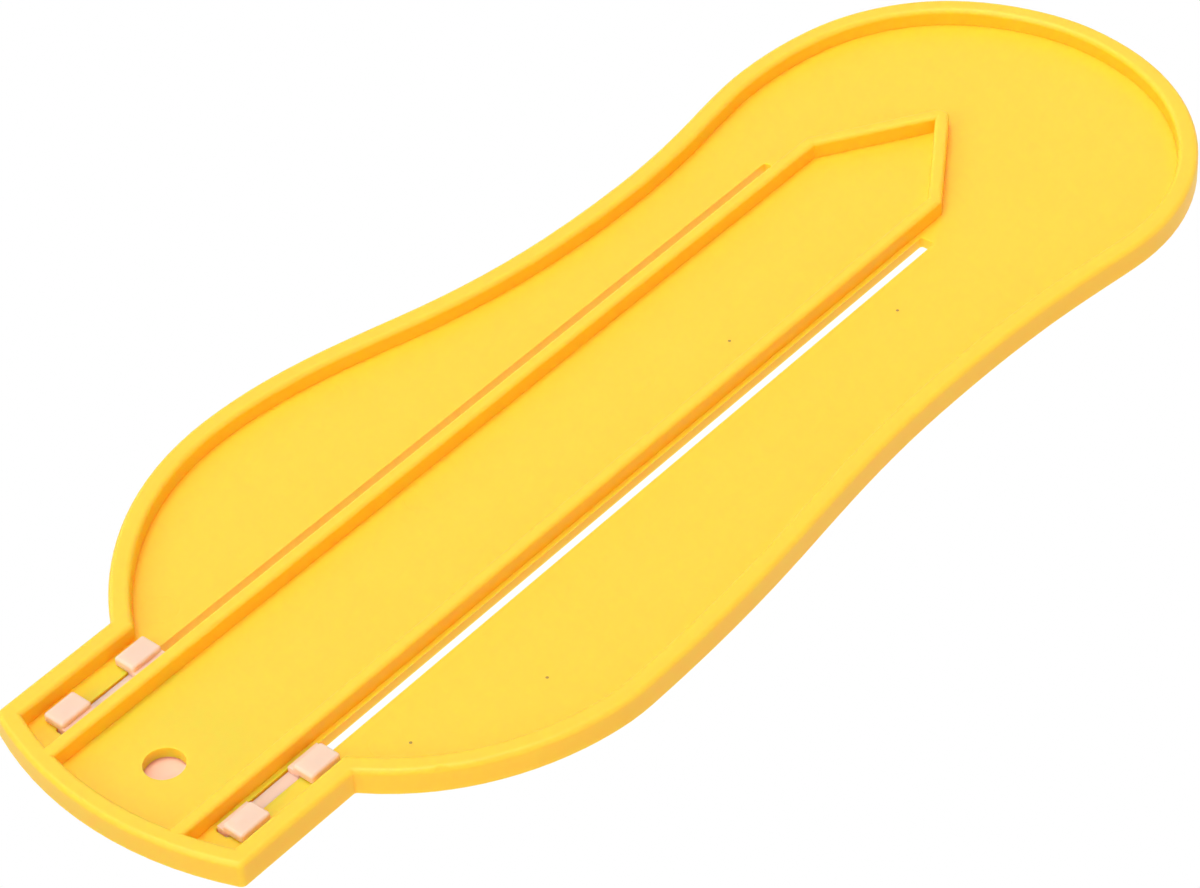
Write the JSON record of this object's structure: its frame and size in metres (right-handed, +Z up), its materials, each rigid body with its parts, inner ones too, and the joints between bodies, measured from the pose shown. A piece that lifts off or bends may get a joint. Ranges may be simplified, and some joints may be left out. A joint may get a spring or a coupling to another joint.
{
  "type": "foot measuring gauge",
  "caption": "Foot-shaped plastic tray with a heel stop and a toe slider that runs in two slots and reads a child's foot length on a printed scale.",
  "frame": {"origin": "centre of the plan's bounding box, in the plane that the rim rests on", "axes": "+X from the hanging tab to the heel, +Y to the wider side of the foot outline, +Z up out of the scale face"},
  "size_m": [0.2458, 0.0976, 0.027],
  "materials": {
    "yellow_plastic": "satin injection-moulded yellow",
    "pale_plastic": "satin injection-moulded pale peach"
  },
  "bodies": {
    "plate": {"foot_plate": "yellow_plastic"},
    "slider": {"toe_slider": "pale_plastic"}
  },
  "joints": [
    {"name": "toe_slide", "type": "slide", "parent": "plate", "child": "slider", "axis": [1, 0, 0], "range_m": [0, 0.1509]}
  ]
}
